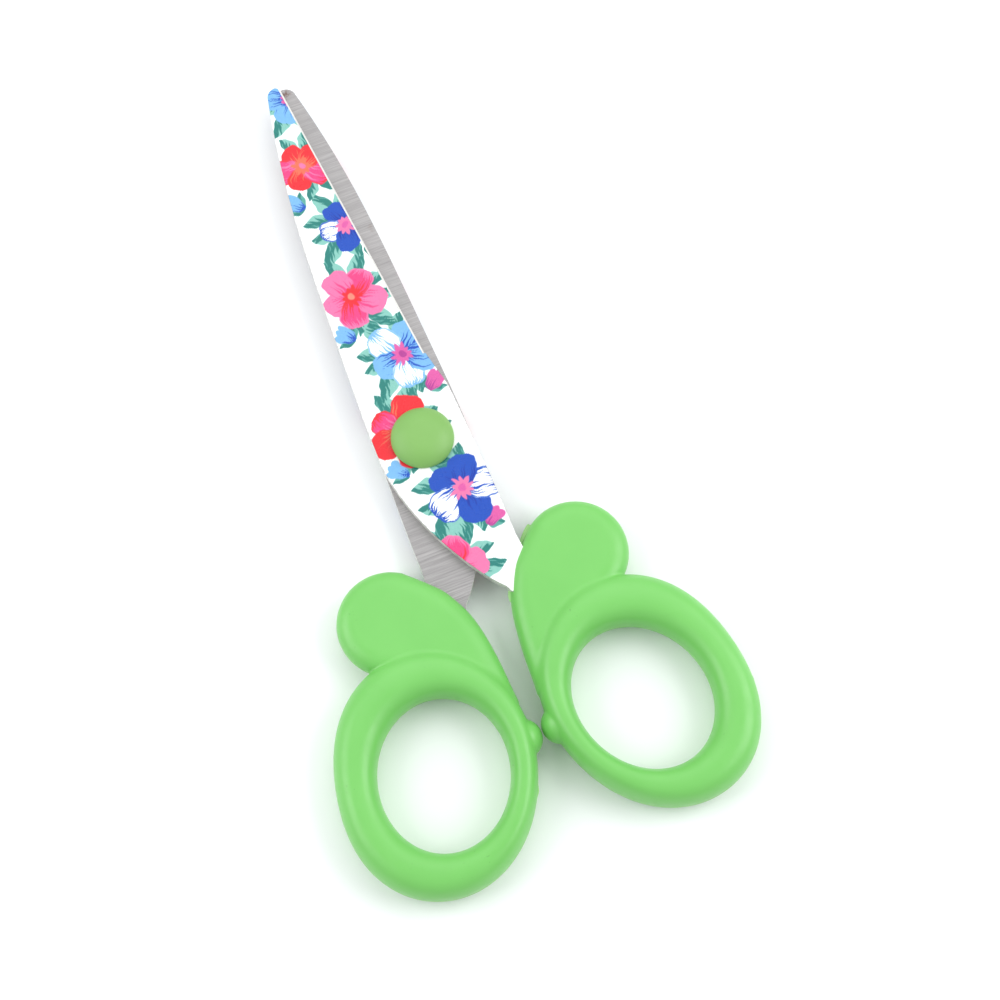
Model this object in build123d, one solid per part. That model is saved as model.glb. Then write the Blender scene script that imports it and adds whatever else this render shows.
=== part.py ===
from build123d import *
import math
import os

# Children's craft scissors, closed and lying flat: two stamped steel blades with a printed outer
# face, two moulded handles with a round lobe and an oval finger bow, and a riveted pivot under
# two domed caps. The pivot axis is Z, the tips point to +Y and the printed front faces +Z.
# The parts are modelled about the shear plane, where the blades slide on each other, and are
# lifted at the end so that the rear cap's crown rests on z = 0. The rear half is the front half
# turned over about Y. All sizes are in millimetres.

# ---- driving dimensions ----
BLADE_T = 1.5             # blade sheet
BLADE_GAP = 0.04          # running gap between the two blades
FILM_T = 0.1              # printed film on a blade's outer face
BEVEL_W = 0.45            # width of the ground bevel, seen from above
EDGE_LAND = 0.3           # blunt land left at the cutting edge
BOW_T = 8.0               # thickness of a finger bow, which is also the scissors' thickness
HOLE_CENTRE = (16.4, -51.0)
HOLE_SEMI = (10.2, 12.05)
HOLE_TILT = 19.2          # turn of the oval hole, in degrees
BOW_R = 17.3              # mean radius of the bow's outside about the hole's centre
BOW_SHIFT = (1.45, 27)    # the outside stands off to one side: how far, and in which direction
BOW_OVAL = (1.83, 105)    # how far it is drawn out to an oval, and along which direction
BOW_EGG = (0.3, 70)       # how far one end of the oval is blunter, and where
BOW_STEP = 20             # degrees from one section of the bow to the next
LOBE_T = 5.6              # thickness of the flat lobe
LOBE_EDGE_R = 1.9         # rounding of the lobe's edges
LOBE_CENTRE = (15.5, -25.9)
LOBE_R = 8.3
LOBE_START = -70          # the round outline runs from here, inside the bow,
LOBE_NECK = 124           # to here, where the tail's outer side leaves it
TAIL_OUTER = (1.62, -44.6)
TAIL_INNER = (5.55, -44.2)
LOBE_OVERLAP = 0.7        # how far past the bow's middle the lobe's hidden edge reaches
STOP_R = 3.1              # ball-shaped closing stop on the bow's inner side
STOP_GAP = 0.1            # from a stop to the mirror plane when closed
STOP_Y = -50.2
STOP_END_X = 4.2          # the ball ends here, inside the bow, and stays out of the finger hole
TANG_HOLE_AT = (6.9, -31.0)
TANG_HOLE_R = 1.4         # the moulding fills this hole and is locked on the tang

# ---- pivot, from the axis outwards and from the blade's outer face outwards ----
BARREL_R = 2.0            # rivet barrel, fixed in the rear blade
PIN_R = 1.2               # rivet pin pressed into the barrel
PIVOT_GAP = 0.04          # radial running gap of the front blade on the barrel
HEAD_R = 3.5
HEAD_T = 0.6
WASHER_GAP = 0.02
WASHER_R = 3.3
WASHER_T = 0.3
SPRING_T = 0.2            # dished washer
SPRING_RISE = 0.2
CAP_R = 5.0
CAP_FLAT_R = 2.4          # flat crown of a cap
CAP_RIM_T = 0.5
CAP_GAP = 0.05            # from the fixed front cap to the film that turns under it

BLADE_LOW = BLADE_GAP / 2
BLADE_TOP = BLADE_LOW + BLADE_T
FILM_TOP = BLADE_TOP + FILM_T
CROWN_Z = BOW_T / 2
CUT_H = 3 * BLADE_T       # height of a cutter that goes right through a blade
WASHER_LOW = BLADE_TOP + WASHER_GAP
SPRING_LOW = WASHER_LOW + WASHER_T
FRONT_HEAD_LOW = SPRING_LOW + SPRING_T + SPRING_RISE
TURN_OVER = Rot(0, 180, 0)

# ---- corners of the front blade's outline: spine on the left, cutting edge on the right ----
EDGE_TIP = (0.3, 65.0)
EDGE_HEEL = (5.65, 13.2)
RICASSO_TOP = (6.95, 7.4)
TANG_SHOULDER = (7.85, -20.0)
TANG_END_OUTER = (8.8, -33.0)
TANG_END_INNER = (5.2, -33.6)
TAIL_END = (3.4, -27.2)
SPINE_ROOT = (-7.6, -0.5)
SPINE_TIP = (-2.3, 64.0)


def bow_inner(angle):
    """Radius of the finger hole at a polar angle about its centre: a tilted ellipse."""
    turned = angle - math.radians(HOLE_TILT)
    a, b = HOLE_SEMI
    return a * b / math.hypot(b * math.cos(turned), a * math.sin(turned))


def bow_outer(angle):
    """Radius of the bow's outside: a circle, moved, made oval and then slightly egg-shaped."""
    radius = BOW_R
    for waves, (amount, direction) in enumerate((BOW_SHIFT, BOW_OVAL, BOW_EGG), start=1):
        radius += amount * math.cos(waves * (angle - math.radians(direction)))
    return radius


def bow_middle(degrees, inwards=0.0):
    """The point halfway across the bow at a polar angle, moved inwards by some millimetres."""
    angle = math.radians(degrees)
    radius = (bow_inner(angle) + bow_outer(angle)) / 2 - inwards
    return (HOLE_CENTRE[0] + radius * math.cos(angle), HOLE_CENTRE[1] + radius * math.sin(angle))


def bow_section(degrees):
    """The bow's elliptical cross-section in the upright plane at a polar angle."""
    angle = math.radians(degrees)
    radial = (math.cos(angle), math.sin(angle), 0)
    tangent = (-math.sin(angle), math.cos(angle), 0)
    half_width = (bow_outer(angle) - bow_inner(angle)) / 2
    plane = Plane(origin=(*bow_middle(degrees), 0), x_dir=radial, z_dir=tangent)
    return plane * Ellipse(half_width, BOW_T / 2)


def make_bow():
    """The finger bow, lofted in two halves that share their end sections."""
    upper = loft([bow_section(degrees) for degrees in range(0, 181, BOW_STEP)])
    lower = loft([bow_section(degrees) for degrees in range(180, 361, BOW_STEP)])
    return upper + lower


def lobe_rim(degrees):
    """A point on the lobe's round outline."""
    angle = math.radians(degrees)
    return (LOBE_CENTRE[0] + LOBE_R * math.cos(angle), LOBE_CENTRE[1] + LOBE_R * math.sin(angle))


def rim_direction(degrees):
    """The anticlockwise direction of the lobe's round outline."""
    angle = math.radians(degrees)
    return (-math.sin(angle), math.cos(angle))


def make_lobe():
    """The flat lobe with a tail down the bow's inner side; its lower edge hides in the bow."""
    start = lobe_rim(LOBE_START)
    neck = lobe_rim(LOBE_NECK)
    hidden = [bow_middle(degrees, LOBE_OVERLAP) for degrees in (130, 110, 94)]
    face = make_face([
        ThreePointArc(start, lobe_rim(40), neck),
        Spline([neck, (5.3, -25.0), (3.1, -30.0), (2.05, -36.5), TAIL_OUTER],
               tangents=[rim_direction(LOBE_NECK), (-0.03, -1.0)]),
        ThreePointArc(TAIL_OUTER, (3.5, -46.5), TAIL_INNER),
        Spline([TAIL_INNER, *hidden, start], tangents=[(0.1, 1.0), rim_direction(LOBE_START)]),
    ])
    plate = extrude(face, LOBE_T / 2, both=True)
    levels = plate.edges().group_by(Axis.Z)
    return fillet(levels[0] + levels[-1], LOBE_EDGE_R)


def make_stop():
    """The ball-shaped stop, cut off flat inside the bow."""
    ball = Pos(STOP_GAP + STOP_R, STOP_Y, 0) * Sphere(STOP_R)
    beyond = Pos(STOP_END_X + STOP_R, STOP_Y, 0) * Box(2 * STOP_R, 2 * STOP_R, 2 * STOP_R)
    return ball - beyond


def make_handle(blade):
    """One moulded handle: bow, lobe and stop, hollow where the tang sits."""
    return make_bow() + make_lobe() + make_stop() - blade


def blade_outline():
    """The stamped blank: straight cutting edge, bowed spine, swept tail and a narrow tang."""
    return make_face([
        Line(EDGE_TIP, EDGE_HEEL),
        Line(EDGE_HEEL, RICASSO_TOP),
        Spline([RICASSO_TOP, (7.35, 0.0), (7.7, -9.5), TANG_SHOULDER],
               tangents=[(0.1, -1), (0, -1)]),
        Spline([TANG_SHOULDER, (8.6, -27.0), TANG_END_OUTER], tangents=[(0.1, -1), (-0.1, -1)]),
        ThreePointArc(TANG_END_OUTER, (6.9, -35.0), TANG_END_INNER),
        Spline([TANG_END_INNER, (4.5, -30.0), TAIL_END]),
        Spline([TAIL_END, (-0.3, -22.3), (-4.5, -14.2), (-7.0, -6.2), SPINE_ROOT],
               tangents=[(-1, 1), (0, 1)]),
        Spline([SPINE_ROOT, (-7.0, 18.0), (-5.8, 40.0), (-4.0, 55.0), SPINE_TIP],
               tangents=[(0, 1), (0.22, 1)]),
        ThreePointArc(SPINE_TIP, (-1.35, 65.15), EDGE_TIP),
    ])


def edge_wedge():
    """The wedge that grinding takes off the outer face along the cutting edge."""
    lean = math.degrees(math.atan2(EDGE_HEEL[0] - EDGE_TIP[0], EDGE_TIP[1] - EDGE_HEEL[1]))
    length = math.dist(EDGE_TIP, EDGE_HEEL)
    low = BLADE_LOW + EDGE_LAND
    high = FILM_TOP + FILM_T
    run_out = BEVEL_W * (high - low) / (BLADE_TOP - low)
    section = make_face(Polyline((0, low), (-run_out, high), (1, high), (1, low), close=True))
    wedge = extrude(Plane.XZ * section, -length - 2)
    return Pos(*EDGE_HEEL, 0) * Rot(0, 0, lean) * wedge


def make_blade(bore_r):
    """One steel blade with its bevel, its pivot bore and the hole that locks the handle on."""
    blank = Pos(0, 0, BLADE_LOW) * extrude(blade_outline(), BLADE_T)
    bore = Cylinder(bore_r, CUT_H)
    locking_hole = Pos(*TANG_HOLE_AT, 0) * Cylinder(TANG_HOLE_R, CUT_H)
    return blank - edge_wedge() - bore - locking_hole


def make_film(handle):
    """The printed film: the blade's outer face up to the handle, open round the pivot."""
    sheet = Pos(0, 0, BLADE_TOP) * extrude(blade_outline(), FILM_T)
    sheet = sheet - edge_wedge() - Cylinder(HEAD_R + FILM_T, CUT_H) - handle
    return max(sheet.solids(), key=lambda solid: solid.volume)


def disc(outer_r, low, high, inner_r=0.0):
    """A flat disc about the pivot axis, or a flat ring when it has an inner radius."""
    upwards = (Align.CENTER, Align.CENTER, Align.MIN)
    solid = Cylinder(outer_r, high - low, align=upwards)
    if inner_r > 0:
        solid = solid - Cylinder(inner_r, high - low, align=upwards)
    return Pos(0, 0, low) * solid


def make_barrel():
    """The rivet's rear half: a wide head and a hollow barrel through both blades."""
    head = disc(HEAD_R, -BLADE_TOP - HEAD_T, -BLADE_TOP)
    shaft = disc(BARREL_R, -BLADE_TOP, FRONT_HEAD_LOW)
    bore = disc(PIN_R, -BLADE_TOP, FRONT_HEAD_LOW)
    return head + shaft - bore


def make_pin():
    """The rivet's front half: a wide head and a pin that fills the barrel."""
    head = disc(HEAD_R, FRONT_HEAD_LOW, FRONT_HEAD_LOW + HEAD_T)
    return head + disc(PIN_R, -BLADE_TOP, FRONT_HEAD_LOW)


def make_spring_washer():
    """A dished washer that keeps the two blades pressed together."""
    inner, outer = BARREL_R, WASHER_R
    profile = make_face(Polyline(
        (outer, SPRING_LOW),
        (outer, SPRING_LOW + SPRING_T),
        (inner, FRONT_HEAD_LOW),
        (inner, SPRING_LOW + SPRING_RISE),
        close=True,
    ))
    return revolve(Plane.XZ * profile, Axis.Z)


def make_cap(rim_z, head_top):
    """A domed cap with a flat crown and a round socket that snaps over a rivet head."""
    crown_edge = (CAP_FLAT_R, CROWN_Z)
    rim_edge = (CAP_R, rim_z + CAP_RIM_T)
    profile = make_face([
        Line((0, rim_z), (CAP_R, rim_z)),
        Line((CAP_R, rim_z), rim_edge),
        Spline([rim_edge, crown_edge], tangents=[(0, 1), (-1, 0)]),
        Line(crown_edge, (0, CROWN_Z)),
        Line((0, CROWN_Z), (0, rim_z)),
    ])
    dome = revolve(Plane.XZ * profile, Axis.Z)
    return dome - disc(HEAD_R, rim_z, head_top)


def write(node, solid):
    """Lift a part from the shear plane to its place over z = 0 and write its STEP file."""
    placed = Pos(0, 0, CROWN_Z) * solid
    export_step(placed, os.path.join("parts", node + ".step"))


os.makedirs("parts", exist_ok=True)
front_blade = make_blade(BARREL_R + PIVOT_GAP)
rear_blade = make_blade(BARREL_R)
handle = make_handle(front_blade)
film = make_film(handle)

write("front_blade", front_blade)
write("front_blade_print", film)
write("front_handle", handle)
write("rear_blade", TURN_OVER * rear_blade)
write("rear_blade_print", TURN_OVER * film)
write("rear_handle", TURN_OVER * handle)
write("rivet_barrel", make_barrel())
write("rivet_pin", make_pin())
write("flat_washer", disc(WASHER_R, WASHER_LOW, SPRING_LOW, BARREL_R))
write("spring_washer", make_spring_washer())
write("front_cap", make_cap(FILM_TOP + CAP_GAP, FRONT_HEAD_LOW + HEAD_T))
write("rear_cap", TURN_OVER * make_cap(FILM_TOP, BLADE_TOP + HEAD_T))
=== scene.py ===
import math
import bmesh
import bpy
import numpy as np
from mathutils import Matrix, Vector


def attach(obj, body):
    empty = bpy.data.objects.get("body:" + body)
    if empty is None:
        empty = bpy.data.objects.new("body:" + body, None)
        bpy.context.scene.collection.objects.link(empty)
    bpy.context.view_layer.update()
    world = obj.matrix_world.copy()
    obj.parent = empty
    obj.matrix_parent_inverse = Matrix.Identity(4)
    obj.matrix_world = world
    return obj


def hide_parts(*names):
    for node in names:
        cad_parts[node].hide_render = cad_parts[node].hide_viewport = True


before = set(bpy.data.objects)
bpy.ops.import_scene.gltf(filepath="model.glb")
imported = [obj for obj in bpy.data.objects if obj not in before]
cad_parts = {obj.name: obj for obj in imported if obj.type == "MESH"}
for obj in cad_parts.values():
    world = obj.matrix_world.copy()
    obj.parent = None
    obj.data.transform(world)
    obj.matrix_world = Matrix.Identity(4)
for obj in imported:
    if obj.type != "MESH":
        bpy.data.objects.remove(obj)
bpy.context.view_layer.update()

# Children's craft scissors. Lengths in this script are millimetres unless a name says otherwise;
# meshes are scaled to metres as they are made. The pivot axis is Z, the tips point to +Y and
# the floor is at z = 0; the blades slide on each other in the plane z = SHEAR_Z.
MM = 0.001
SHEAR_Z = 4.0

# ---- handle, as in the CAD model ----
BOW_HALF_T = 4.0
HOLE_CENTRE = (16.4, -51.0)
HOLE_SEMI = (10.2, 12.05)
HOLE_TILT = math.radians(19.2)
BOW_R = 17.3              # mean radius of the bow's outside about the hole's centre
BOW_SHIFT = (1.45, 27)    # the outside stands off to one side: how far, and in which direction
BOW_OVAL = (1.83, 105)    # how far it is drawn out to an oval, and along which direction
BOW_EGG = (0.3, 70)       # a slight three-cornered swell: how far, and where one corner is
LOBE_CENTRE = (15.5, -25.9)
LOBE_R = 8.3
LOBE_START = -70          # the round outline runs from here, inside the bow,
LOBE_NECK = 124           # to here, where the outline turns down to the tail
LOBE_STEP = 6             # degrees from one point of the round outline to the next
TAIL_OUTER = (1.62, -44.6)   # the tail's corner towards the other handle
TAIL_INNER = (5.55, -44.2)   # and its corner inside the bow
LOBE_OVERLAP = 0.7        # how far past the bow's middle the lobe's hidden edge reaches
LOBE_HALF_T = 2.8
LOBE_SHOULDER = 3.3       # width over which the lobe's face curves down to its edge
STOP_R = 3.1
STOP_AT = (3.2, -50.2)
STOP_END_X = 4.2          # the ball ends here, inside the bow
BOW_SQUARENESS = 2.35     # 2 is an ellipse; more is flatter on top
LOBE_SQUARENESS = 2.4
CREASE = 0.25             # how softly the stop runs into the bow
VALLEY = 0.6              # how softly the lobe runs into the bow
NOTCH_AT = (21.3, -31.8)
NOTCH_REACH = 5.0         # the valley tightens this close to the notch
PARTING_H = 0.05          # height of the moulding's parting line
PARTING_W = 0.10          # how far up and down from the plane it fades out
BURR_SPREAD = 0.5         # squared width of a burr on the parting line
CELL = 0.25               # mesh cell of the handle
FINE_CELL = 0.06          # its height close to the parting plane
FINE_Z = (-0.24, 0.25)    # the fine part of the grid
HANDLE_X = (-0.6, 34.3)   # the grid round one handle
HANDLE_Y = (-70.4, -16.4)
HANDLE_Z = (0.3, 4.4)     # the coarse part of the grid, above and below the parting plane
SLOPE_STEP = 0.02         # step over which a distance's slope is measured
FIN_END = 0.55            # share of a fin's width that is left at its ends
# flash fins where the tang enters the front handle: two ends, half width, half height
FINS = [
    (((10.35, -18.95), (8.0, -21.45)), 0.34, 0.09),
    (((4.0, -27.4), (3.3, -29.2)), 0.40, 0.10),
]
FRONT_BURR = (33.0, -54.5, 0.16)   # place and height of the burr on each handle
REAR_BURR = (3.9, -58.6, 0.2)

# ---- caps ----
CAP_R = 5.0
CAP_CROWN_Z = 8.0
CAP_GAP = 0.06            # from the film to the cap's rim
CAP_SECTORS = 144
# radius and height over the rim, from the inside of the rim out and up to the crown
CAP_PROFILE = ((3.4, 0), (4.75, 0), (4.9, 0.04), (4.98, 0.14), (CAP_R, 0.28), (4.95, 0.50),
               (4.8, 0.75), (4.5, 1.09), (4.1, 1.42), (3.6, 1.73), (3.0, 1.99), (2.3, 2.18),
               (1.5, 2.275))
FILM_TOP_Z = 5.62

# ---- film ----
FILM_ROWS = 760
FILM_COLUMNS = 120
FILM_HOLE_R = 3.6
HOLE_BAND = 0.4           # border points this close to the hole move onto it
FILM_T = 0.1
FILM_END_Y = -28.3        # the film's lowest row, next to the handle
FILM_TIP_GAP = 0.004      # from its highest row to the end of the blade
HANDLE_TOP_Y = -19        # below this the film ends at the handle
HANDLE_SIDE = (4.2, -28.4, 0.8)   # x and y of a point there, and how far x moves per y
RIM_DARKENING = 0.7            # how dark the film's rim gets at most
RIM_STRETCH = 0.35           # length of one stretch of the rim, darkened evenly

# ---- print inks, as sRGB ----
WHITE = (0.985, 0.99, 0.985)
SKY = (0.455, 0.68, 0.87)
ROYAL = (0.09, 0.29, 0.69)
NAVY = (0.06, 0.2, 0.6)
MINT = (0.5, 0.735, 0.69)
TEAL = (0.14, 0.47, 0.44)
JADE = (0.33, 0.62, 0.575)
PINK = (0.885, 0.44, 0.63)
ROSE = (0.885, 0.245, 0.485)
MAGENTA = (0.815, 0.34, 0.61)
PLUM = (0.65, 0.225, 0.54)
RED = (0.885, 0.15, 0.19)
ORANGE = (0.89, 0.415, 0.31)
CORAL = (0.89, 0.505, 0.435)
EDGE_SOFTNESS = 0.09      # how far one ink gives way to the next, to each side
WOBBLE = 0.10             # unevenness of every drawn outline, long waves
FINE_WOBBLE = 0.06        # and short ones
STROKE_SWAY = 0.2         # how unevenly wide brush strokes are, as a share of one
SHORT_STROKE = 0.35       # shortest brush stroke, as a share of the longest
BRISTLES = 0.6            # width of a leaf's brush strokes
STROKE_LEAN = math.radians(36)   # angle between those strokes and the leaf's midrib
LEAF_BLUNT = 0.95         # less is blunter at both ends
LEAF_SKEW = 0.85          # under 1, the widest place is nearer to the base
LEAF_GAPS = 0.6           # how strong the light streaks in a leaf's dark side are

# ---- layout of the repeat, in millimetres along and across the blade ----
REPEAT_STEP = 12.1        # from one blossom to the next
REPEAT_START = -22.0      # the first blossom, at the tail of the blade
REPEAT_COUNT = 8
BLOSSOM_SWAY = 3.3        # blossoms stand this far left and right of the middle in turn
BLOSSOM_REACH = 6.2
TIP_SHRINK = 0.3          # share by which the last blossom is smaller than the first
GOLDEN_TURN = 137.5       # degrees from one blossom's turn to the next
PETALS = 5

# each colourway: petal and its streaks, second petal and its streaks, heart and dot
COLORWAYS = ((PINK, ROSE, ROSE, RED, RED, CORAL),
             (ROYAL, NAVY, WHITE, ROYAL, PINK, MAGENTA),
             (RED, ORANGE, ROSE, PINK, ORANGE, PINK),
             (SKY, ROYAL, WHITE, SKY, MAGENTA, PLUM))

# ---- materials: colours as sRGB ----
HANDLE_GREEN = (0.457, 0.759, 0.379)
HANDLE_SHADE = (0.440, 0.742, 0.362)
CAP_GREEN = (0.495, 0.69, 0.365)
CAP_SHADE = (0.475, 0.67, 0.345)
SEAM_GREEN = (0.70, 0.83, 0.58)
SEAM_REACH = (0.10, 0.20)   # the seam's paler green fades out this far from the parting plane
STEEL = (0.65, 0.64, 0.64)
STAIN = (0.50, 0.44, 0.40)
RUST = (0.42, 0.30, 0.26)
RUST_REACH = (0.4, 1.2)     # the rust fades out between these distances from its middle
FRONT_RUST_AT = (-1.0, 12.0, 4.0)
REAR_RUST_AT = (0.7, 64.3, 4.0)
GRIND_TURN = 4              # degrees that the grinding lines lean on each blade
EDGE_WHITE = (0.93, 0.93, 0.91)

# ---- stage ----
CAMERA_AT = (-37.0, -125.5, 404.0)
CAMERA_TARGET = (7.77, -13.47, 4.0)
CAMERA_UP = (0.3709, 0.9287, 0)
LENS = 95.8
SENSOR_W = 36
LIGHT_TARGET = (0, -5, 0)
FLOOR_HALF = 3000
# each softbox: where it stands, its side in metres and its power in watts
SOFTBOXES = {"key": ((120, 300, 450), 0.50, 0.85),
             "right": ((390, -110, 330), 0.40, 1.75),
             "left": ((-380, 120, 320), 0.40, 1.45)}


# ---------------------------------------------------------------- meshes
def add_mesh(name, vertices, faces, material, smooth=True):
    """A mesh object from points in millimetres."""
    mesh = bpy.data.meshes.new(name)
    count = len(faces)
    mesh.vertices.add(len(vertices))
    mesh.vertices.foreach_set("co", (np.asarray(vertices) * MM).astype(np.float32).ravel())
    corners = len(faces[0])
    mesh.loops.add(count * corners)
    mesh.loops.foreach_set("vertex_index", np.asarray(faces, np.int32).ravel())
    mesh.polygons.add(count)
    mesh.polygons.foreach_set("loop_start", np.arange(0, count * corners, corners, dtype=np.int32))
    mesh.update(calc_edges=True)
    mesh.validate()
    mesh.polygons.foreach_set("use_smooth", np.full(len(mesh.polygons), smooth))
    mesh.materials.append(material)
    piece = bpy.data.objects.new(name, mesh)
    bpy.context.scene.collection.objects.link(piece)
    return piece


def turn_over(vertices):
    """The front half's points turned about Y, which gives the rear half's."""
    return vertices * (-1, 1, -1) + (0, 0, 2 * SHEAR_Z)


def place(piece, body, slot, *nodes):
    """Tie a piece to a body and hide the CAD nodes that it stands for; slot is not used."""
    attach(piece, body)
    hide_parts(*nodes)


# ---------------------------------------------------------------- handle
def bow_radii(angle):
    """Inner and outer radius of the finger bow about the hole's centre."""
    turned = angle - HOLE_TILT
    a, b = HOLE_SEMI
    inner = a * b / np.hypot(b * np.cos(turned), a * np.sin(turned))
    outer = BOW_R
    for waves, (amount, direction) in enumerate((BOW_SHIFT, BOW_OVAL, BOW_EGG), start=1):
        outer = outer + amount * np.cos(waves * (angle - math.radians(direction)))
    return inner, outer


def bow_middle(degrees, inwards=0.0):
    """The point halfway across the bow at a polar angle, moved inwards."""
    angle = math.radians(degrees)
    inner, outer = bow_radii(angle)
    radius = (inner + outer) / 2 - inwards
    return (HOLE_CENTRE[0] + radius * math.cos(angle), HOLE_CENTRE[1] + radius * math.sin(angle))


def lobe_rim(degrees):
    """A point on the lobe's round outline."""
    angle = math.radians(degrees)
    return (LOBE_CENTRE[0] + LOBE_R * math.cos(angle), LOBE_CENTRE[1] + LOBE_R * math.sin(angle))


def smooth_through(points, steps=10):
    """A Catmull-Rom curve through a run of points, without its last point."""
    p = np.array([points[0], *points, points[-1]], float)
    p[0] = 2 * p[1] - p[2]
    p[-1] = 2 * p[-2] - p[-3]
    t = np.arange(steps)[:, None] / steps
    runs = []
    for a, b, c, d in zip(p[:-3], p[1:-2], p[2:-1], p[3:]):
        cubic = (2 * b + (c - a) * t + (2 * a - 5 * b + 4 * c - d) * t ** 2
                 + (3 * b - a - 3 * c + d) * t ** 3)
        runs.append(cubic / 2)
    return np.vstack(runs)


def lobe_outline():
    """The lobe plate's outline: round top, inner side down to the tail, hidden lower side."""
    top = np.array([lobe_rim(degrees) for degrees in range(LOBE_START, LOBE_NECK, LOBE_STEP)])
    side = smooth_through([lobe_rim(LOBE_NECK), (7.5, -22.3), (5.3, -25.0), (3.1, -30.0),
                           (2.05, -36.5), TAIL_OUTER])
    tail = smooth_through([TAIL_OUTER, (3.5, -46.5), TAIL_INNER])
    inside = [bow_middle(degrees, LOBE_OVERLAP) for degrees in (130, 110, 94)]
    hidden = smooth_through([TAIL_INNER, *inside, lobe_rim(LOBE_START)])
    return np.vstack([top, side, tail, hidden])


def outline_distance(x, y, outline):
    """Signed distance from points to a closed outline, negative inside."""
    starts, ends = outline, np.roll(outline, -1, axis=0)
    nearest = np.full(x.shape, np.inf)
    inside = np.zeros(x.shape, bool)
    for (ax, ay), (bx, by) in zip(starts, ends):
        ex, ey = bx - ax, by - ay
        length2 = ex * ex + ey * ey
        if length2 == 0:
            continue
        t = np.clip(((x - ax) * ex + (y - ay) * ey) / length2, 0, 1)
        nearest = np.minimum(nearest, (x - ax - t * ex) ** 2 + (y - ay - t * ey) ** 2)
        crosses = (ay > y) != (by > y)
        if ey != 0:
            inside ^= crosses & (x < ax + (y - ay) * ex / ey)
    return np.where(inside, -1, 1) * np.sqrt(nearest)


def soft_union(a, b, softness):
    """The smaller of two distances, with a small fillet where they cross."""
    blend = np.clip(0.5 + 0.5 * (b - a) / softness, 0, 1)
    return b + (a - b) * blend - softness * blend * (1 - blend)


def rounded_distance(across, up, half_width, half_height, power):
    """Near-true distance to a section |across|^power + |up|^power = 1, scaled to its size."""
    across, up = np.abs(across), np.abs(up)
    size = ((across / half_width) ** power + (up / half_height) ** power) ** (1 / power) + 1e-6
    lean = np.hypot(across ** (power - 1) / half_width ** power,
                    up ** (power - 1) / half_height ** power)
    return (size - 1) / (size ** (1 - power) * lean + 1e-6)


def bow_distance(x, y, z):
    """Near-true distance to the finger bow."""
    dx, dy = x - HOLE_CENTRE[0], y - HOLE_CENTRE[1]
    inner, outer = bow_radii(np.arctan2(dy, dx))
    across = np.hypot(dx, dy) - (inner + outer) / 2
    return rounded_distance(across, z, (outer - inner) / 2, BOW_HALF_T, BOW_SQUARENESS)


def fin_distance(x, y, z, ends, half_width, half_height):
    """Distance to a thin flash fin between two points of the parting plane."""
    (ax, ay), (bx, by) = ends
    ex, ey = bx - ax, by - ay
    t = np.clip(((x - ax) * ex + (y - ay) * ey) / (ex * ex + ey * ey), 0, 1)
    off = np.hypot(x - ax - t * ex, y - ay - t * ey)
    taper = FIN_END + (1 - FIN_END) * np.sin(math.pi * t)
    return rounded_distance(off, z, half_width * taper, half_height, 2.0)


def handle_distance(x, y, z, flat, flash):
    """Distance to one handle; flat is the distance to the lobe's outline in plan."""
    bow = bow_distance(x, y, z)
    from_shoulder = np.maximum(flat + LOBE_SHOULDER, 0)
    lobe = rounded_distance(from_shoulder, z, LOBE_SHOULDER, LOBE_HALF_T, LOBE_SQUARENESS)
    from_notch = np.hypot(x - NOTCH_AT[0], y - NOTCH_AT[1]) / NOTCH_REACH
    valley = CREASE + (VALLEY - CREASE) * np.clip(from_notch, 0, 1)
    ball = np.sqrt((x - STOP_AT[0]) ** 2 + (y - STOP_AT[1]) ** 2 + z ** 2) - STOP_R
    stop = np.maximum(ball, x - STOP_END_X)
    body = soft_union(soft_union(bow, lobe, valley), stop, CREASE)
    for fin in flash["fins"]:
        body = soft_union(body, fin_distance(x, y, z, *fin), CREASE)
    ridge = np.full(x.shape, PARTING_H)
    for fx, fy, height in flash["burrs"]:
        ridge = ridge + height * np.exp(-((x - fx) ** 2 + (y - fy) ** 2) / BURR_SPREAD)
    return body - ridge * np.exp(-(z / PARTING_W) ** 2)


def net_points(field, inside, axes):
    """One point in each cell that the zero level crosses, and the cells' point numbers."""
    total = np.zeros(tuple(n - 1 for n in field.shape) + (3,))
    hits = np.zeros(total.shape[:3])
    for axis in range(3):
        low = [slice(None)] * 3
        high = [slice(None)] * 3
        low[axis], high[axis] = slice(None, -1), slice(1, None)
        f0, f1 = field[tuple(low)], field[tuple(high)]
        cross = inside[tuple(low)] != inside[tuple(high)]
        share = np.where(cross, f0 / np.where(cross, f0 - f1, 1), 0)
        point = np.stack(np.meshgrid(*[a[:n] for a, n in zip(axes, f0.shape)], indexing="ij"), -1)
        step = np.diff(axes[axis])
        shape = [1, 1, 1]
        shape[axis] = len(step)
        point[..., axis] += share * step.reshape(shape)
        others = [a for a in range(3) if a != axis]
        for i in (0, 1):
            for j in (0, 1):
                part = [slice(None)] * 3
                part[others[0]] = slice(i, i + total.shape[others[0]])
                part[others[1]] = slice(j, j + total.shape[others[1]])
                hit = cross[tuple(part)]
                total[hit] += point[tuple(part)][hit]
                hits += hit
    active = hits > 0
    number = np.full(active.shape, -1)
    number[active] = np.arange(active.sum())
    return total[active] / hits[active][:, None], number


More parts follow.
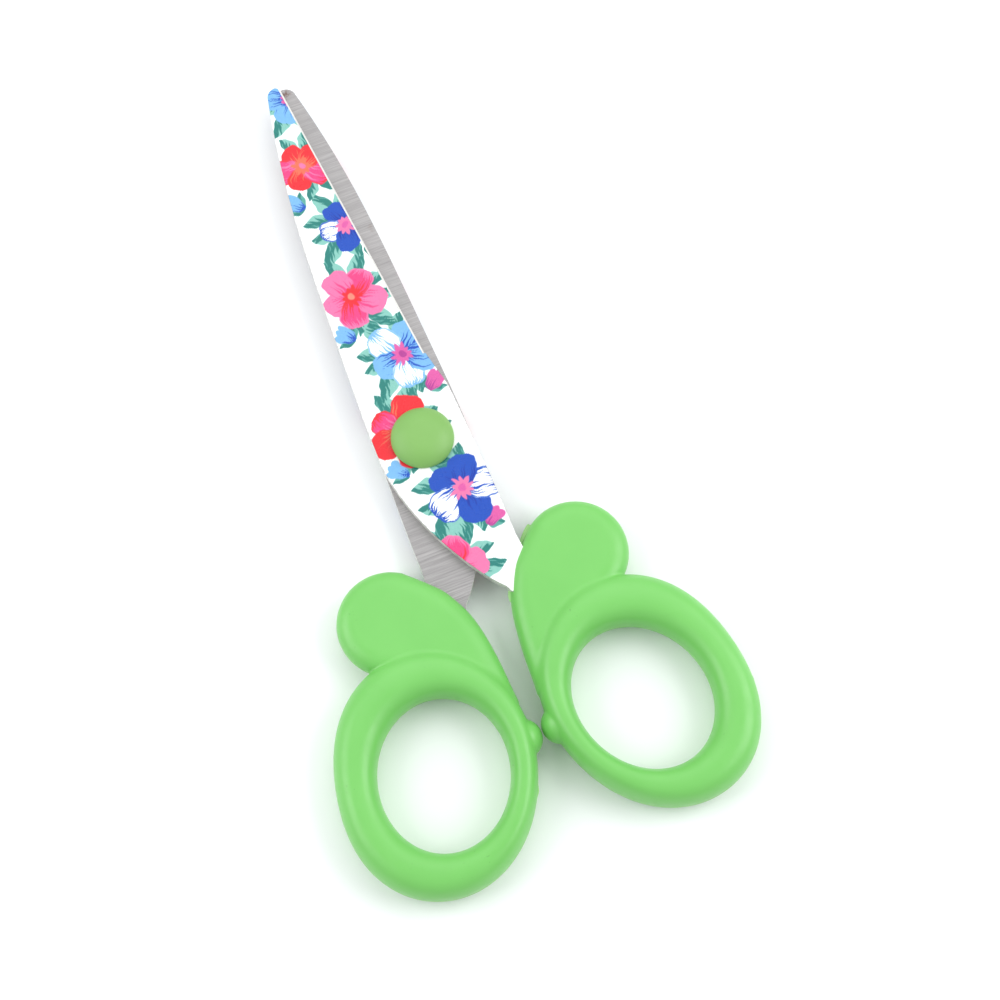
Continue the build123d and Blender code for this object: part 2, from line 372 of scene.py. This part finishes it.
def net_quads(inside, number):
    """A quad across each grid edge that the zero level crosses, facing outwards."""
    quads = []
    for axis in range(3):
        b, c = (axis + 1) % 3, (axis + 2) % 3
        low = [slice(1, -1)] * 3
        high = [slice(1, -1)] * 3
        low[axis], high[axis] = slice(None, -1), slice(1, None)
        s0, s1 = inside[tuple(low)], inside[tuple(high)]
        where = np.argwhere(s0 != s1)
        leaving = s0[s0 != s1]
        cell = where.copy()
        cell[:, b] += 1
        cell[:, c] += 1
        around = []
        for db, dc in ((-1, -1), (0, -1), (0, 0), (-1, 0)):
            corner = cell.copy()
            corner[:, b] += db
            corner[:, c] += dc
            around.append(number[tuple(corner.T)])
        quad = np.stack(around, 1)
        quad[~leaving] = quad[~leaving][:, ::-1]
        quads.append(quad)
    return np.vstack(quads)


def surface_net(field, axes):
    """A closed quad mesh round the zero level of a field sampled on a rectilinear grid."""
    inside = field < 0
    vertices, number = net_points(field, inside, axes)
    return vertices, net_quads(inside, number)


def make_handle(flash):
    """One handle as a smooth closed mesh about the shear plane."""
    outline = lobe_outline()
    xs = np.arange(*HANDLE_X, CELL)
    ys = np.arange(*HANDLE_Y, CELL)
    coarse = np.arange(*HANDLE_Z, CELL)
    zs = np.concatenate([-coarse[::-1], np.arange(*FINE_Z, FINE_CELL), coarse])
    x, y = np.meshgrid(xs, ys, indexing="ij")
    flat = outline_distance(x, y, outline)
    shape = (len(xs), len(ys), len(zs))
    spread = [np.broadcast_to(a[..., None], shape) for a in (x, y, flat)]
    z = np.broadcast_to(zs, shape)
    field = handle_distance(spread[0], spread[1], z, spread[2], flash)
    vertices, quads = surface_net(field, (xs, ys, zs))

    def distance(p):
        x, y, z = p.T
        return handle_distance(x, y, z, outline_distance(x, y, outline), flash)

    value = distance(vertices)
    steps = SLOPE_STEP * np.eye(3)
    slope = np.stack([distance(vertices + step) - value for step in steps], 1)
    slope /= SLOPE_STEP
    move = value[:, None] * slope / np.maximum((slope ** 2).sum(1), 0.3)[:, None]
    limit = CELL / 2
    length = np.linalg.norm(move, axis=1, keepdims=True)
    vertices = vertices - move * np.minimum(1, limit / np.maximum(length, 1e-9))
    return vertices + (0, 0, SHEAR_Z), quads


# ---------------------------------------------------------------- caps
def make_cap():
    """The front cap: a low dome with a rolled rim, a soft shoulder and a flat crown."""
    rim_z = FILM_TOP_Z + CAP_GAP
    profile = [(r, rim_z + rise) for r, rise in CAP_PROFILE]
    profile = smooth_through([*profile, (0.8, CAP_CROWN_Z - 0.01), (0.0, CAP_CROWN_Z)], 4)
    sectors = CAP_SECTORS
    turn = np.arange(sectors) * 2 * math.pi / sectors
    rings = [np.stack([r * np.cos(turn), r * np.sin(turn), np.full(sectors, z)], 1)
             for r, z in profile]
    vertices = np.vstack(rings + [np.array([[0, 0, CAP_CROWN_Z], [0, 0, rim_z]])])
    faces = []
    for ring in range(len(profile) - 1):
        for k in range(sectors):
            a, b = ring * sectors + k, ring * sectors + (k + 1) % sectors
            faces.append((a, b, b + sectors, a + sectors))
    return vertices, faces, sectors, len(profile)


def close_cap(vertices, faces, sectors, rings):
    """Close the crown and the flat underside with quads that each span two sectors."""
    crown, under = len(vertices) - 2, len(vertices) - 1
    last = (rings - 1) * sectors
    for k in range(0, sectors, 2):
        a, b, c = k, (k + 1) % sectors, (k + 2) % sectors
        faces.append((last + a, last + b, last + c, crown))
        faces.append((c, b, a, under))
    return vertices, faces


# ---------------------------------------------------------------- printed film
def top_outline(node, level):
    """The boundary edges, in millimetres, of a CAD node's flat face at a height."""
    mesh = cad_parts[node].data
    co = np.zeros(len(mesh.vertices) * 3, np.float32)
    mesh.vertices.foreach_get("co", co)
    co = co.reshape(-1, 3) / MM
    on_top = np.abs(co[:, 2] - level) < 0.01
    uses = {}
    for polygon in mesh.polygons:
        corners = list(polygon.vertices)
        if all(on_top[v] for v in corners):
            for a, b in zip(corners, corners[1:] + corners[:1]):
                pa, pb = tuple(np.round(co[a, :2], 4)), tuple(np.round(co[b, :2], 4))
                key = (min(pa, pb), max(pa, pb))
                uses[key] = uses.get(key, 0) + 1
    return np.array([key for key, count in uses.items() if count == 1])


def row_ends(edges, level):
    """The lowest and highest x where a row at this y crosses the outline."""
    (ax, ay), (bx, by) = edges[:, 0].T, edges[:, 1].T
    crosses = (ay > level) != (by > level)
    t = (level - ay[crosses]) / (by[crosses] - ay[crosses])
    x = ax[crosses] + t * (bx[crosses] - ax[crosses])
    return x.min(), x.max()


def make_film():
    """The printed face as a fine sheet that carries the print in its vertices."""
    edges = top_outline("front_blade", FILM_TOP_Z - FILM_T)
    y_high = edges[:, :, 1].max() - FILM_TIP_GAP
    level = FILM_END_Y + (y_high - FILM_END_Y) * np.linspace(0, 1, FILM_ROWS)
    ends = np.array([row_ends(edges, y) for y in level])
    side_x, side_y, slope = HANDLE_SIDE
    handle_side = side_x + (level - side_y) * slope
    right = np.where(level < HANDLE_TOP_Y, np.minimum(ends[:, 1], handle_side), ends[:, 1])
    share = np.linspace(0, 1, FILM_COLUMNS)
    x = ends[:, :1] + (right - ends[:, 0])[:, None] * share
    y = np.repeat(level[:, None], FILM_COLUMNS, 1)
    return x, y


# ---------------------------------------------------------------- print
def soft_step(value, softness=EDGE_SOFTNESS):
    """0 below zero and 1 above it, with a soft ramp that many units to each side."""
    ramp = np.clip(value / (2 * softness) + 0.5, 0, 1)
    return ramp * ramp * (3 - 2 * ramp)


def scatter(index, seed):
    """A repeatable pseudo-random share from 0 to 1 for each whole number."""
    wave = np.sin(index * 12.9898 + seed * 78.233) * 43758.5453
    return wave - np.floor(wave)


class Print:
    """Ink laid over the film: points in millimetres and the colour at each of them."""

    def __init__(self, x, y):
        self.x = x + WOBBLE * np.sin(1.7 * y + 0.6) + FINE_WOBBLE * np.sin(4.1 * y + 1.3 * x)
        self.y = y + WOBBLE * np.sin(1.5 * x + 1.1) + FINE_WOBBLE * np.sin(3.7 * x - 1.9 * y)
        self.color = np.tile(np.array(WHITE), (len(x), 1))

    def lay(self, ink, cover):
        """Cover the print with an ink where cover is 1."""
        self.color += (np.array(ink) - self.color) * cover[:, None]

    def along(self, base, tip, bend=0.0):
        """Share of the way from base to tip, and millimetres to the left of a bent midrib."""
        dx, dy = tip[0] - base[0], tip[1] - base[1]
        length = math.hypot(dx, dy)
        u = ((self.x - base[0]) * dx + (self.y - base[1]) * dy) / length
        v = ((self.y - base[1]) * dx - (self.x - base[0]) * dy) / length
        t = u / length
        return t, v - bend * 4 * t * (1 - t), length

    def outline(self, t, v, width, blunt, skew):
        """Half width of a petal at each point, and how much the petal covers it."""
        inside = np.clip(t, 0, 1)
        lean = inside ** skew
        half = width / 2 * (4 * lean * (1 - lean)) ** blunt
        within = soft_step(half - np.abs(v)) * (t > 0) * (t < 1)
        return np.maximum(half, 1e-3), within

    def strokes(self, lane, depth, reach, ink, cover, seed):
        """Tapering brush strokes side by side: solid at depth 0, each with its own reach."""
        lane = lane + STROKE_SWAY * np.sin(2.3 * lane + seed)
        which = np.floor(lane)
        ends = reach * (SHORT_STROKE + (1 - SHORT_STROKE) * scatter(which, seed))
        thin = 1 - np.abs(2 * (lane - which) - 1)
        self.lay(ink, cover * soft_step(thin + 0.2 - 1.2 * depth / ends, 0.16))

    def petal(self, base, tip, width, ink, bend=0.0, blunt=0.5, skew=1.5, seed=1,
              flame=None, fringe=None, rim=None):
        """A petal; flame strokes start at its base, fringe strokes at its tip; rim is a line."""
        t, v, _ = self.along(base, tip, bend)
        half, cover = self.outline(t, v, width, blunt, skew)
        self.lay(ink, cover)
        across = np.clip(v / half, -1, 1)
        for strokes, depth in ((flame, t), (fringe, 1 - t)):
            if strokes:
                lanes, stroke_ink, reach = strokes
                self.strokes((across + 1) / 2 * lanes, depth, reach, stroke_ink, cover, seed)
        if rim:
            rim_ink, thickness = rim
            edge = soft_step(thickness - (half - np.abs(v))) * soft_step(t - 0.3, 0.15)
            self.lay(rim_ink, cover * edge)

    def leaf(self, base, tip, width, light=MINT, bend=0.0, side=1, share=0.0, reach=0.5, seed=1):
        """A pointed leaf: dark along one side, with strokes that lean forward over the light."""
        t, v, length = self.along(base, tip, bend)
        half, cover = self.outline(t, v, width, LEAF_BLUNT, LEAF_SKEW)
        self.lay(light, cover)
        v = v * side
        lane = (t * length * math.sin(STROKE_LEAN) + v * math.cos(STROKE_LEAN)) / BRISTLES
        depth = (share * half - v) / width
        self.strokes(lane, np.maximum(depth, 0), reach, TEAL, cover, seed)
        thin = 1 - np.abs(2 * (lane - np.floor(lane)) - 1)
        chosen = scatter(np.floor(lane), seed + 0.5) > 0.45
        band = soft_step(-depth - 0.04, 0.04) * soft_step(0.3 + depth, 0.06)
        gap = soft_step(thin - 0.72, 0.12) * band
        self.lay(light, cover * gap * chosen * LEAF_GAPS)

    def spot(self, at, radius, ink):
        """A round dab of ink."""
        reach = np.hypot(self.x - at[0], self.y - at[1])
        self.lay(ink, soft_step(radius - reach))




def polar(at, reach, degrees):
    """The point at a distance and direction from another."""
    angle = math.radians(degrees)
    return at[0] + reach * math.cos(angle), at[1] + reach * math.sin(angle)


def blossom(art, at, reach, turn, colorway, seed):
    """A round blossom with streaked petals, a star-shaped heart and a dot."""
    petal_ink, petal_streak, second_ink, second_streak, heart_ink, dot_ink = colorway
    for k in range(PETALS):
        length = reach * (0.86 + 0.28 * scatter(k, seed))
        ink, streak = (second_ink, second_streak) if k % 2 else (petal_ink, petal_streak)
        art.petal(at, polar(at, length, turn + 360 / PETALS * k), 0.86 * length, ink, blunt=0.4,
                  skew=1.4, bend=0.4 - 0.8 * scatter(k, seed + 1), seed=seed + k,
                  flame=(9, streak, 0.85), fringe=(11, petal_ink, 0.42), rim=(petal_ink, 0.22))
    rays = 2 * PETALS
    for k in range(rays):
        length = reach * (0.26 + 0.16 * scatter(k, seed))
        art.petal(at, polar(at, length, turn + 360 / rays * (k + 0.5)), 0.75, heart_ink, blunt=0.6,
                  skew=0.9)
    art.spot(at, 0.11 * reach, dot_ink)


def leaf_spray(art, at, reach, turn, seed):
    """Pointed leaves that fan out behind a blossom; the middle one is the largest."""
    for k, (spread, size) in enumerate(((-46, 0.74), (44, 0.8), (-3, 0.96))):
        base = polar(at, 0.5 * reach, turn + 0.5 * spread)
        tip = polar(at, reach * size * (1.6 + 0.3 * scatter(k, seed)), turn + spread)
        art.leaf(base, tip, 0.58 * reach * size, bend=0.5 - scatter(k, seed + 1),
                 side=1 if k == 1 else -1, share=0.35, reach=0.6, seed=seed + k)


def bud(art, at, turn, ink, streak_ink, seed):
    """A small closed bud between two narrow leaves."""
    for spread in (-50, 50):
        art.leaf(at, polar(at, 3.0, turn + spread), 1.3, light=JADE, share=0.3, seed=seed)
    for spread in (-20, 20, 0):
        art.petal(at, polar(at, 3.5, turn + spread), 1.5, ink, blunt=0.5, skew=1.1,
                  seed=seed + spread, flame=(4, streak_ink, 0.7))


def paint(x, y):
    """The whole flower print: sRGB colour at points of the front blade, in millimetres.

    One plain repeat: a blossom at each step, left and right in turn, with leaves above and
    below it and a bud on the other side of the blade.
    """
    art = Print(x, y)
    places = []
    for k in range(REPEAT_COUNT):
        side = 1 if k % 2 else -1
        size = 1 - TIP_SHRINK * k / (REPEAT_COUNT - 1)
        at = (side * BLOSSOM_SWAY * size ** 3, REPEAT_START + REPEAT_STEP * k)
        places.append((k, side, at, BLOSSOM_REACH * size))
    for k, side, at, reach in places:
        leaf_spray(art, at, reach, 90 + 28 * side, seed=20 + 3 * k)
        leaf_spray(art, at, reach, 270 - 38 * side, seed=45 + 3 * k)
    for k, side, at, reach in places:
        across = (-side * 0.7 * reach, at[1] + 0.42 * REPEAT_STEP)
        bud(art, across, 90 + 50 * side, (MAGENTA, SKY)[k % 2], (PLUM, ROYAL)[k % 2], seed=60 + k)
    for k, side, at, reach in places:
        blossom(art, at, reach, GOLDEN_TURN * k, COLORWAYS[k % len(COLORWAYS)], seed=80 + 7 * k)
    return np.clip(art.color, 0, 1)


def close_sheet(x, y):
    """Turn the sheet's rows into a closed mesh with a round hole under the cap."""
    rows, columns = x.shape
    index = np.arange(rows * columns).reshape(rows, columns)
    corner = [index[:-1, :-1], index[:-1, 1:], index[1:, 1:], index[1:, :-1]]
    quads = np.stack([c.ravel() for c in corner], 1)
    points = np.stack([x.ravel(), y.ravel()], 1)
    reach = np.hypot(points[:, 0], points[:, 1])
    quads = quads[(reach[quads] > FILM_HOLE_R).all(1)]
    sides = np.vstack([quads[:, [k, (k + 1) % 4]] for k in range(4)])
    key = np.sort(sides, 1)
    _, first, count = np.unique(key, axis=0, return_index=True, return_counts=True)
    border = sides[first[count == 1]]
    rim = np.unique(border)
    hole = rim[reach[rim] < FILM_HOLE_R + HOLE_BAND]
    points[hole] *= (FILM_HOLE_R / reach[hole])[:, None]
    used = np.unique(quads)
    renumber = np.full(len(points), -1)
    renumber[used] = np.arange(len(used))
    quads, border, points = renumber[quads], renumber[border], points[used]
    rim = np.unique(border)
    below = np.full(len(points), -1)
    below[rim] = len(points) + np.arange(len(rim))
    walls = np.stack([border[:, 1], border[:, 0], below[border[:, 0]], below[border[:, 1]]], 1)
    vertices = np.vstack([np.c_[points, np.full(len(points), FILM_TOP_Z)],
                          np.c_[points[rim], np.full(len(rim), FILM_TOP_Z - FILM_T)]])
    return vertices, np.vstack([quads, walls]), below[border], np.concatenate([rim, below[rim]])


def fill_underside(piece, border):
    """Close the sheet's flat underside, which lies on the steel."""
    sheet = bmesh.new()
    sheet.from_mesh(piece.data)
    sheet.verts.ensure_lookup_table()
    loop = []
    for a, b in border:
        loop.append(sheet.edges.get((sheet.verts[a], sheet.verts[b])))
    made = bmesh.ops.triangle_fill(sheet, edges=loop, use_beauty=False, use_dissolve=False)
    for face in made["geom"]:
        if isinstance(face, bmesh.types.BMFace) and face.normal.z > 0:
            face.normal_flip()
    sheet.to_mesh(piece.data)
    sheet.free()


def to_linear(srgb):
    """Scene-linear values of sRGB colours from 0 to 1."""
    srgb = np.asarray(srgb, float)
    return np.where(srgb <= 0.04045, srgb / 12.92, ((srgb + 0.055) / 1.055) ** 2.4)


def add_print_colors(piece, x, y, rim):
    """Store the print's colour in the sheet's vertices; its rim is darkened by a random amount in
    each stretch.
    """
    colors = np.ones((len(x), 4), np.float32)
    colors[:, :3] = to_linear(paint(x, y))
    # darken each stretch of the film's rim, on its top and its underside, by a random amount
    unevenness = RIM_DARKENING * scatter(np.round(y[rim] / RIM_STRETCH), 3)
    colors[rim, :3] *= (1 - unevenness)[:, None]
    layer = piece.data.color_attributes.new("print", "FLOAT_COLOR", "POINT")
    layer.data.foreach_set("color", colors.ravel())


# ---------------------------------------------------------------- materials
def new_material(name):
    """A material with a Principled shader, and its node tree."""
    material = bpy.data.materials.new(name)
    material.use_nodes = True
    tree = material.node_tree
    return material, tree, tree.nodes["Principled BSDF"]


def add_node(tree, kind, links=None, **settings):
    """A shader node; links gives its inputs as sockets or plain values."""
    node = tree.nodes.new(kind)
    for key, value in settings.items():
        setattr(node, key, value)
    for key, value in (links or {}).items():
        if isinstance(value, bpy.types.NodeSocket):
            tree.links.new(value, node.inputs[key])
        else:
            node.inputs[key].default_value = value
    return node


def place_noise(tree, scale, stretch=(1, 1, 1), detail=3.0, roughness=0.5, turn=0.0):
    """Noise in the piece's own coordinates; scale is in features per metre."""
    where = tree.nodes.new("ShaderNodeTexCoord").outputs["Object"]
    mapping = add_node(tree, "ShaderNodeMapping", {"Vector": where, "Scale": stretch,
                                                   "Rotation": (0, 0, turn)})
    noise = add_node(tree, "ShaderNodeTexNoise", {"Vector": mapping.outputs[0], "Scale": scale,
                                                  "Detail": detail, "Roughness": roughness})
    return noise.outputs["Fac"]


def remap(tree, value, low, high, to_low, to_high):
    """A value moved from one range to another and held there."""
    node = add_node(tree, "ShaderNodeMapRange", {"Value": value, "From Min": low, "From Max": high,
                                                 "To Min": to_low, "To Max": to_high})
    return node.outputs[0]


def mix_color(tree, share, a, b, blend="MIX"):
    """Two colours mixed by a share; a and b are sockets or RGBA values."""
    node = add_node(tree, "ShaderNodeMix", {0: share, 6: a, 7: b}, data_type="RGBA",
                    blend_type=blend)
    return node.outputs[2]


def add_bump(tree, shader, height, distance, strength=1.0, under=None):
    """Bump from a height value; distance is in metres."""
    links = {"Height": height, "Distance": distance, "Strength": strength}
    if under:
        links["Normal"] = under
    node = add_node(tree, "ShaderNodeBump", links)
    tree.links.new(node.outputs[0], shader.inputs["Normal"])
    return node.outputs[0]


def rgba(srgb):
    """A scene-linear RGBA value from an sRGB colour."""
    return (*to_linear(srgb), 1.0)


def moulded_plastic(name, body, shade, roughness):
    """Satin moulded plastic with slight flow marks, fine grain and sparse handling marks."""
    material, tree, shader = new_material(name)
    clouds = place_noise(tree, 90, detail=4)
    color = mix_color(tree, remap(tree, clouds, 0.35, 0.7, 0, 1), rgba(body), rgba(shade))
    specks = place_noise(tree, 1900, detail=1)
    dirt = place_noise(tree, 160, detail=2)
    marks = add_node(tree, "ShaderNodeMath", {0: remap(tree, specks, 0.70, 0.76, 0, 1),
                                              1: remap(tree, dirt, 0.58, 0.70, 0, 0.35)},
                     operation="MULTIPLY").outputs[0]
    color = mix_color(tree, marks, color, rgba([c * 0.62 for c in body]))
    unevenness = place_noise(tree, 500, detail=3)
    tree.links.new(remap(tree, unevenness, 0.3, 0.7, roughness - 0.06, roughness + 0.08),
                   shader.inputs["Roughness"])
    height = add_node(tree, "ShaderNodeSeparateXYZ",
                      {0: tree.nodes.new("ShaderNodeTexCoord").outputs["Object"]}).outputs["Z"]
    from_seam = add_node(tree, "ShaderNodeMath", {0: height, 1: SHEAR_Z * MM},
                         operation="SUBTRACT").outputs[0]
    from_seam = add_node(tree, "ShaderNodeMath", {0: from_seam}, operation="ABSOLUTE").outputs[0]
    seam = remap(tree, from_seam, SEAM_REACH[0] * MM, SEAM_REACH[1] * MM, 0.5, 0)
    color = mix_color(tree, seam, color, rgba(SEAM_GREEN))
    tree.links.new(color, shader.inputs["Base Color"])
    grain = place_noise(tree, 4200, detail=2)
    waves = place_noise(tree, 260, detail=2)
    soft = add_bump(tree, shader, waves, 0.00006, 0.5)
    add_bump(tree, shader, grain, 0.00001, 0.25, soft)
    shader.inputs["Subsurface Weight"].default_value = 0.05
    shader.inputs["Subsurface Radius"].default_value = (0.5, 1.0, 0.4)
    shader.inputs["Subsurface Scale"].default_value = 0.0015
    shader.inputs["Specular IOR Level"].default_value = 0.5
    return material


def ground_steel(name, tone, turn, rust_at):
    """Steel sheet ground across the blade, with stains and white paint left on its bevel."""
    material, tree, shader = new_material(name)
    lines = place_noise(tree, 1, stretch=(110, 5000, 110), detail=4, roughness=0.75, turn=turn)
    bands = place_noise(tree, 1, stretch=(60, 700, 60), detail=3, turn=turn)
    dark = rgba([c * 0.85 for c in tone])
    light = rgba([min(1, c * 1.12) for c in tone])
    color = mix_color(tree, remap(tree, lines, 0.33, 0.67, 0, 1), dark, light)
    band = rgba([c * 0.93 for c in tone])
    color = mix_color(tree, remap(tree, bands, 0.3, 0.7, 0, 0.45), color, band)
    stains = place_noise(tree, 230, detail=5)
    color = mix_color(tree, remap(tree, stains, 0.66, 0.76, 0, 0.45), color, rgba(STAIN))
    where = tree.nodes.new("ShaderNodeTexCoord").outputs
    middle = [MM * c for c in rust_at]
    near = add_node(tree, "ShaderNodeVectorMath", {0: where["Object"], 1: middle},
                    operation="DISTANCE").outputs["Value"]
    patchy = place_noise(tree, 1500, detail=3)
    fade = remap(tree, near, RUST_REACH[0] * MM, RUST_REACH[1] * MM, 1, 0)
    rust = add_node(tree, "ShaderNodeMath", {0: fade,
                                             1: remap(tree, patchy, 0.42, 0.58, 0, 0.8)},
                    operation="MULTIPLY").outputs[0]
    color = mix_color(tree, rust, color, rgba(RUST))
    up = add_node(tree, "ShaderNodeSeparateXYZ", {0: where["Normal"]}).outputs["Z"]
    steep = add_node(tree, "ShaderNodeMath", {0: up}, operation="ABSOLUTE").outputs[0]
    bevel = add_node(tree, "ShaderNodeMath", {0: remap(tree, steep, 0.15, 0.2, 0, 1),
                                              1: remap(tree, steep, 0.7, 0.8, 1, 0)},
                     operation="MULTIPLY").outputs[0]
    chipped = place_noise(tree, 520, detail=4)
    wall = add_node(tree, "ShaderNodeMath", {0: remap(tree, steep, 0.1, 0.15, 1, 0),
                                             1: remap(tree, chipped, 0.3, 0.6, 0.45, 0.8)},
                    operation="MULTIPLY").outputs[0]
    paint_share = add_node(tree, "ShaderNodeMath", {0: bevel, 1: wall},
                           operation="MAXIMUM").outputs[0]
    color = mix_color(tree, paint_share, color, rgba(EDGE_WHITE))
    tree.links.new(color, shader.inputs["Base Color"])
    tree.links.new(remap(tree, paint_share, 0, 1, 0.8, 0), shader.inputs["Metallic"])
    tree.links.new(remap(tree, lines, 0.3, 0.7, 0.36, 0.52), shader.inputs["Roughness"])
    add_bump(tree, shader, lines, 0.00002, 0.6)
    return material


def flower_print(name):
    """The flower print on its white base coat, slightly grainy and fairly glossy."""
    material, tree, shader = new_material(name)
    ink = add_node(tree, "ShaderNodeAttribute", attribute_name="print").outputs["Color"]
    grain = place_noise(tree, 6500, detail=2)
    shade = remap(tree, grain, 0.3, 0.7, 0.93, 1.05)
    tinted = add_node(tree, "ShaderNodeVectorMath", {0: ink, "Scale": shade}, operation="SCALE")
    tree.links.new(tinted.outputs[0], shader.inputs["Base Color"])
    unevenness = place_noise(tree, 420, detail=4)
    tree.links.new(remap(tree, unevenness, 0.3, 0.7, 0.22, 0.34), shader.inputs["Roughness"])
    add_bump(tree, shader, place_noise(tree, 700, detail=3), 0.00003, 0.25)
    shader.inputs["Specular IOR Level"].default_value = 0.35
    return material


def plated_steel(name):
    """Bright plated rivet steel with faint turning marks."""
    material, tree, shader = new_material(name)
    marks = place_noise(tree, 1, stretch=(500, 500, 9000), detail=3)
    color = mix_color(tree, remap(tree, marks, 0.3, 0.7, 0, 1), rgba((0.74, 0.75, 0.77)),
                      rgba((0.86, 0.87, 0.88)))
    tree.links.new(color, shader.inputs["Base Color"])
    shader.inputs["Metallic"].default_value = 1.0
    tree.links.new(remap(tree, marks, 0.3, 0.7, 0.18, 0.32), shader.inputs["Roughness"])
    return material


def nylon(name):
    """Milky washer nylon."""
    material, tree, shader = new_material(name)
    clouds = place_noise(tree, 800, detail=3)
    color = mix_color(tree, remap(tree, clouds, 0.3, 0.7, 0, 1), rgba((0.90, 0.90, 0.87)),
                      rgba((0.84, 0.84, 0.80)))
    tree.links.new(color, shader.inputs["Base Color"])
    shader.inputs["Roughness"].default_value = 0.5
    return material


def set_material(node, material):
    """Give a carried-over CAD node its material."""
    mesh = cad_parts[node].data
    mesh.materials.clear()
    mesh.materials.append(material)


# ---------------------------------------------------------------- stage
def look_at(thing, place_mm, target_mm, up):
    """Place a camera or light in millimetres and turn it to a target."""
    back = (Vector(place_mm) - Vector(target_mm)).normalized()
    right = Vector(up).cross(back).normalized()
    rotation = Matrix((right, back.cross(right), back)).transposed()
    thing.matrix_world = Matrix.Translation(Vector(place_mm) * MM) @ rotation.to_4x4()


def add_camera():
    """The camera: nearly overhead, from the handle side, turned so the tips point up-left."""
    data = bpy.data.cameras.new("camera")
    data.lens = LENS
    data.sensor_width = SENSOR_W
    data.clip_start = 0.01
    camera = bpy.data.objects.new("camera", data)
    bpy.context.scene.collection.objects.link(camera)
    look_at(camera, CAMERA_AT, CAMERA_TARGET, CAMERA_UP)
    bpy.context.scene.camera = camera


def add_softbox(name, place_mm, size, power):
    """A square area light aimed at the scissors; size in metres, power in watts."""
    data = bpy.data.lights.new(name, "AREA")
    data.size = size
    data.energy = power
    light = bpy.data.objects.new(name, data)
    bpy.context.scene.collection.objects.link(light)
    look_at(light, place_mm, LIGHT_TARGET, (0, 1, 0))


def add_floor():
    """A pale seamless floor."""
    material, tree, shader = new_material("floor_card")
    clouds = place_noise(tree, 14, detail=3)
    color = mix_color(tree, remap(tree, clouds, 0.3, 0.7, 0, 1), rgba((0.972, 0.976, 0.98)),
                      rgba((0.964, 0.97, 0.975)))
    tree.links.new(color, shader.inputs["Base Color"])
    shader.inputs["Roughness"].default_value = 0.7
    shader.inputs["Specular IOR Level"].default_value = 0.1
    half = FLOOR_HALF
    corners = [(-half, -half, 0), (half, -half, 0), (half, half, 0), (-half, half, 0)]
    floor = add_mesh("floor", corners, [(0, 1, 2, 3)], material, smooth=False)


def add_world():
    """Even, slightly cool surroundings."""
    world = bpy.data.worlds.new("studio")
    bpy.context.scene.world = world
    world.use_nodes = True
    background = world.node_tree.nodes["Background"]
    background.inputs["Color"].default_value = (0.97, 0.985, 1.0, 1)
    background.inputs["Strength"].default_value = 0.62


bpy.context.scene.view_settings.view_transform = "Standard"
add_camera()
add_world()
add_floor()
for name, (place_mm, size, power) in SOFTBOXES.items():
    add_softbox(name, place_mm, size, power)

handle_plastic = moulded_plastic("handle_plastic", HANDLE_GREEN, HANDLE_SHADE, 0.36)
cap_plastic = moulded_plastic("cap_plastic", CAP_GREEN, CAP_SHADE, 0.47)
front_steel = ground_steel("front_steel", STEEL, math.radians(GRIND_TURN), FRONT_RUST_AT)
rear_steel = ground_steel("rear_steel", STEEL, math.radians(-GRIND_TURN), REAR_RUST_AT)
print_face = flower_print("print_face")
rivet_steel = plated_steel("rivet_steel")
washer_nylon = nylon("washer_nylon")

set_material("front_blade", front_steel)
set_material("rear_blade", rear_steel)
for name in ("rivet_barrel", "rivet_pin", "spring_washer"):
    set_material(name, rivet_steel)
set_material("flat_washer", washer_nylon)

points, quads = make_handle({"fins": FINS, "burrs": [FRONT_BURR]})
handle = add_mesh("front_handle_moulding", points, quads, handle_plastic)
place(handle, "front_half", "handle_plastic", "front_handle")
points, quads = make_handle({"fins": [], "burrs": [REAR_BURR]})
handle = add_mesh("rear_handle_moulding", turn_over(points), quads, handle_plastic)
place(handle, "rear_half", "handle_plastic", "rear_handle")

points, quads = close_cap(*make_cap())
cap = add_mesh("front_pivot_cap", points, quads, cap_plastic)
place(cap, "rear_half", "cap_plastic", "front_cap")
cap = add_mesh("rear_pivot_cap", turn_over(points), quads, cap_plastic)
place(cap, "rear_half", "cap_plastic", "rear_cap")

points, quads, underside, rim = close_sheet(*make_film())
for name, body, node, shape in (
        ("front_print_sheet", "front_half", "front_blade_print", points),
        ("rear_print_sheet", "rear_half", "rear_blade_print", turn_over(points))):
    sheet = add_mesh(name, shape, quads, print_face, smooth=False)
    fill_underside(sheet, underside)
    add_print_colors(sheet, points[:, 0], points[:, 1], rim)
    place(sheet, body, "print_film", node)
